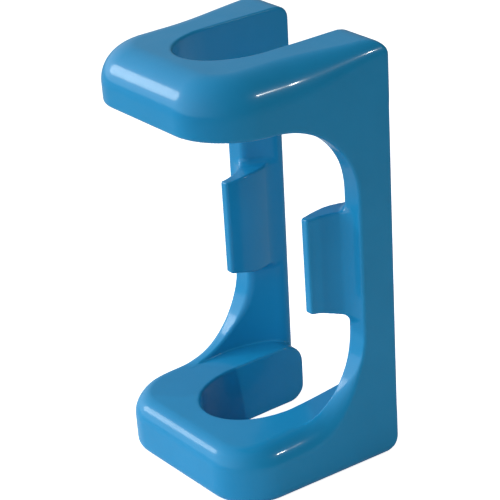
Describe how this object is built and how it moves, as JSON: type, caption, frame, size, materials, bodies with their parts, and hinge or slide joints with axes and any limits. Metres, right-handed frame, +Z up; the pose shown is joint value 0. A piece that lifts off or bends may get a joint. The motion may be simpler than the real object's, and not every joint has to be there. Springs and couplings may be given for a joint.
{
  "type": "bag clip",
  "caption": "Moulded plastic bag clip: two slotted U yokes joined at the rear by spring legs, with a thin curved jaw on each leg.",
  "frame": {"origin": "centre of the bounding box in plan, on the underside of the lower yoke", "axes": "+Z up along the legs, -Y the closed front of the yokes, +Y the open end of the slots, +X the right leg"},
  "size_m": [0.0358, 0.0341, 0.07],
  "materials": {
    "body": "satin-gloss injection-moulded blue polypropylene",
    "leg": "the same moulding, on the flexing legs",
    "jaw": "the same moulding, on the thin jaws"
  },
  "bodies": {
    "frame": {"bottom_yoke": "body", "top_yoke": "body", "left_lower_web": "body", "left_upper_web": "body", "right_lower_web": "body", "right_upper_web": "body"},
    "left_spring_arm": {"left_spring_leg": "leg", "left_jaw": "jaw"},
    "right_spring_arm": {"right_spring_leg": "leg", "right_jaw": "jaw"}
  },
  "joints": [
    {"name": "left_arm_flex", "type": "hinge", "parent": "frame", "child": "left_spring_arm", "pos_m": [-0.016, 0.0148, 0.0335], "axis": [0, 0, -1], "range_deg": [0, 8], "stiffness_Nm_per_rad": 0.4},
    {"name": "right_arm_flex", "type": "hinge", "parent": "frame", "child": "right_spring_arm", "pos_m": [0.016, 0.0148, 0.0335], "axis": [0, 0, 1], "range_deg": [0, 8], "stiffness_Nm_per_rad": 0.4}
  ]
}
